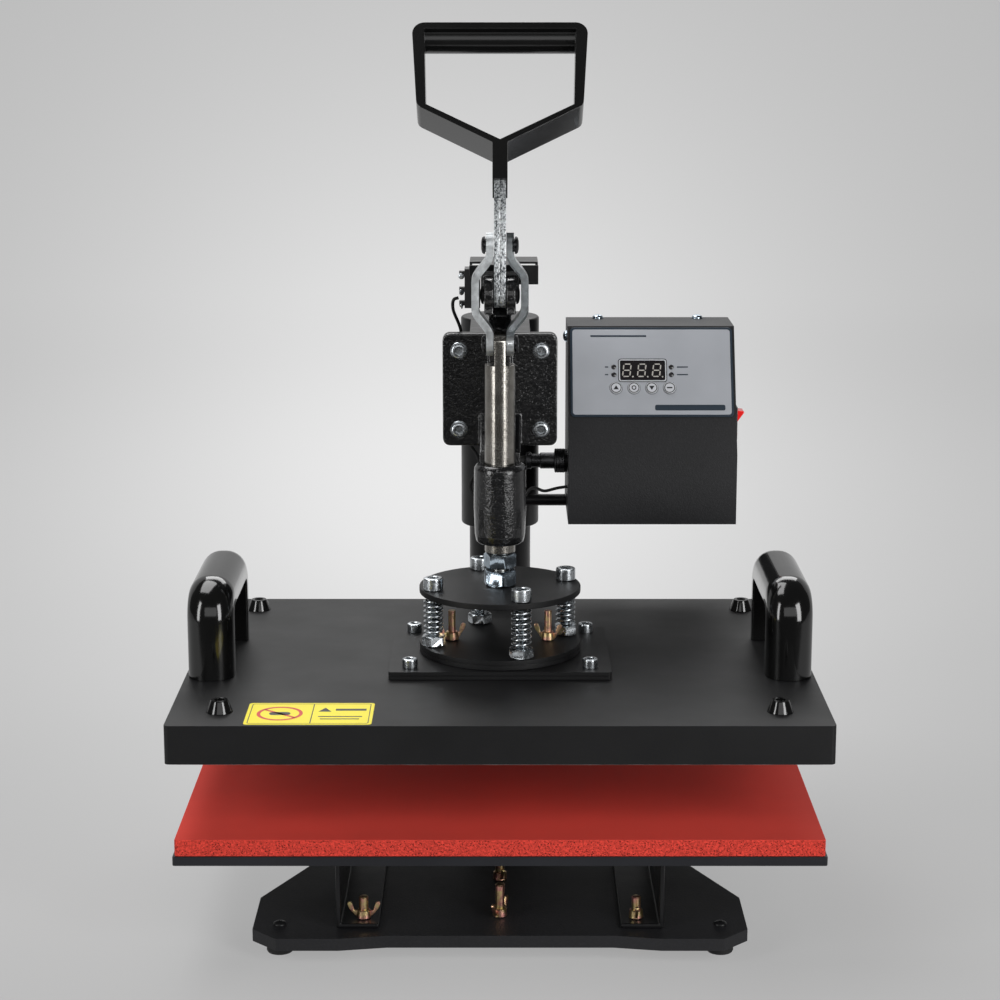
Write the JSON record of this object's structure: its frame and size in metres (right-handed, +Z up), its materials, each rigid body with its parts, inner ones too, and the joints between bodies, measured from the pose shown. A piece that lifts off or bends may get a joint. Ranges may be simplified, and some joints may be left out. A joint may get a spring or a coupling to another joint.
{
  "type": "swing-away heat press",
  "caption": "Flat heat press: a toggle lever drives a sprung heated platen down onto a foam pad; its head swings aside on a post and carries a controller box.",
  "frame": {"origin": "on the bench, under the middle of the press's bounding box", "axes": "+Z up, -Y towards the operator, +X to the operator's right"},
  "size_m": [0.408, 0.4, 0.5739],
  "materials": {
    "charcoal_powder": "textured charcoal powder coat",
    "black_powder": "fine matt black powder coat",
    "satin_black": "satin black paint",
    "gloss_casting": "gloss black paint over a rough casting",
    "tray_steel": "satin blue-black coat",
    "gloss_plastic": "polished black moulding",
    "grip_plastic": "semi-gloss black moulding",
    "red_foam": "silicone foam with a smooth skin and porous cut edges",
    "foot_rubber": "matt black rubber",
    "black_sheath": "flexible black sheath",
    "bright_zinc": "bright zinc plate",
    "grained_zinc": "grained zinc plate on sheared steel",
    "yellow_zinc": "yellow-passivated zinc plate",
    "dark_nickel": "turned steel with dark nickel plate",
    "platen_aluminium": "cast plate with sawn edges",
    "silver_film": "printed silver film",
    "red_lens": "translucent red moulding",
    "switch_plastic": "moulded black case with plated terminals"
  },
  "bodies": {
    "base": {"base_plate": "charcoal_powder", "foot_front_left": "foot_rubber", "foot_front_right": "foot_rubber", "foot_rear_left": "foot_rubber", "foot_rear_right": "foot_rubber", "tray_channel_left": "satin_black", "tray_channel_right": "satin_black", "channel_bolt_left": "yellow_zinc", "channel_bolt_right": "yellow_zinc", "centre_bolt_front": "yellow_zinc", "centre_bolt_rear": "yellow_zinc", "lower_tray": "tray_steel", "silicone_pad": "red_foam", "post": "satin_black"},
    "swing_head": {"pivot_sleeve": "satin_black", "head_arm": "satin_black", "toggle_casting": "gloss_casting", "yoke_pin": "bright_zinc", "switch_bracket": "satin_black", "limit_switch": "switch_plastic", "controller_box": "charcoal_powder", "box_back_cover": "charcoal_powder", "control_label": "silver_film", "heater_plug": "dark_nickel", "heater_cable": "black_sheath", "switch_wire": "black_sheath"},
    "lever": {"lever_plate_left": "grained_zinc", "lever_plate_right": "grained_zinc", "lever_handle": "grip_plastic"},
    "links": {"link_left": "bright_zinc", "link_right": "bright_zinc"},
    "plunger": {"plunger": "dark_nickel", "adjusting_nut": "bright_zinc", "upper_disc": "black_powder"},
    "lock_nut": {"lock_nut": "bright_zinc"},
    "platen": {"lower_disc": "black_powder", "mounting_plate": "black_powder", "platen_cover": "black_powder", "heated_platen": "platen_aluminium", "side_handle_left": "gloss_plastic", "side_handle_right": "gloss_plastic", "spring_bolt_1": "bright_zinc", "spring_bolt_2": "bright_zinc", "spring_bolt_3": "bright_zinc", "spring_bolt_4": "bright_zinc", "spring_1": "bright_zinc", "spring_2": "bright_zinc", "spring_3": "bright_zinc", "spring_4": "bright_zinc"},
    "rocker": {"rocker_switch": "red_lens"},
    "button_up": {"button_up": "silver_film"},
    "button_ok": {"button_ok": "silver_film"},
    "button_down": {"button_down": "silver_film"},
    "button_enter": {"button_enter": "silver_film"},
    "channel_nut_left": {"channel_wing_nut_left": "yellow_zinc"},
    "channel_nut_right": {"channel_wing_nut_right": "yellow_zinc"},
    "centre_nut_front": {"centre_wing_nut_front": "yellow_zinc"},
    "centre_nut_rear": {"centre_wing_nut_rear": "yellow_zinc"},
    "disc_nut_left": {"disc_wing_nut_left": "yellow_zinc"},
    "disc_nut_right": {"disc_wing_nut_right": "yellow_zinc"}
  },
  "joints": [
    {"name": "head_swing", "type": "hinge", "parent": "base", "child": "swing_head", "pos_m": [0, 0.15, 0.2], "axis": [0, 0, 1], "range_deg": [-180, 180]},
    {"name": "lever_swing", "type": "hinge", "parent": "swing_head", "child": "lever", "pos_m": [0, -0.046, 0.4019], "axis": [1, 0, 0], "range_deg": [0, 130]},
    {"name": "link_swing", "type": "hinge", "parent": "lever", "child": "links", "pos_m": [0, -0.046, 0.4339], "axis": [1, 0, 0], "range_deg": [-107.6, 0]},
    {"name": "plunger_slide", "type": "slide", "parent": "swing_head", "child": "plunger", "axis": [0, 0, -1], "range_m": [0, 0.0478], "deforming": ["heater_cable"]},
    {"name": "platen_float", "type": "slide", "parent": "plunger", "child": "platen", "axis": [0, 0, 1], "range_m": [0, 0.006], "stiffness_N_per_m": 60000, "deforming": ["spring_1", "spring_2", "spring_3", "spring_4"]},
    {"name": "lock_nut_turn", "type": "hinge", "parent": "plunger", "child": "lock_nut", "pos_m": [0, -0.046, 0.2258], "axis": [0, 0, 1], "continuous": true},
    {"name": "rocker_tilt", "type": "hinge", "parent": "swing_head", "child": "rocker", "pos_m": [0.168, 0.099, 0.2924], "axis": [0, -1, 0], "range_deg": [0, 20]},
    {"name": "up_press", "type": "slide", "parent": "swing_head", "child": "button_up", "axis": [0, 0.8902, -0.4555], "range_m": [0, 0.0006], "stiffness_N_per_m": 400},
    {"name": "ok_press", "type": "slide", "parent": "swing_head", "child": "button_ok", "axis": [0, 0.8902, -0.4555], "range_m": [0, 0.0006], "stiffness_N_per_m": 400},
    {"name": "down_press", "type": "slide", "parent": "swing_head", "child": "button_down", "axis": [0, 0.8902, -0.4555], "range_m": [0, 0.0006], "stiffness_N_per_m": 400},
    {"name": "enter_press", "type": "slide", "parent": "swing_head", "child": "button_enter", "axis": [0, 0.8902, -0.4555], "range_m": [0, 0.0006], "stiffness_N_per_m": 400},
    {"name": "channel_nut_left_turn", "type": "hinge", "parent": "base", "child": "channel_nut_left", "pos_m": [-0.086, -0.163, 0.025], "axis": [0, 0, 1], "continuous": true},
    {"name": "channel_nut_right_turn", "type": "hinge", "parent": "base", "child": "channel_nut_right", "pos_m": [0.086, -0.163, 0.025], "axis": [0, 0, 1], "continuous": true},
    {"name": "centre_nut_front_turn", "type": "hinge", "parent": "base", "child": "centre_nut_front", "pos_m": [0, -0.152, 0.0215], "axis": [0, 0, 1], "continuous": true},
    {"name": "centre_nut_rear_turn", "type": "hinge", "parent": "base", "child": "centre_nut_rear", "pos_m": [0, -0.088, 0.0215], "axis": [0, 0, 1], "continuous": true},
    {"name": "disc_nut_left_turn", "type": "hinge", "parent": "platen", "child": "disc_nut_left", "pos_m": [-0.032, -0.046, 0.174], "axis": [0, 0, 1], "continuous": true},
    {"name": "disc_nut_right_turn", "type": "hinge", "parent": "platen", "child": "disc_nut_right", "pos_m": [0.032, -0.046, 0.174], "axis": [0, 0, 1], "continuous": true}
  ],
  "couplings": [
    {"joint": "link_swing", "follows": "lever_swing", "ratio": -0.82676},
    {"joint": "plunger_slide", "follows": "lever_swing", "m_per_rad": 0.021018}
  ]
}
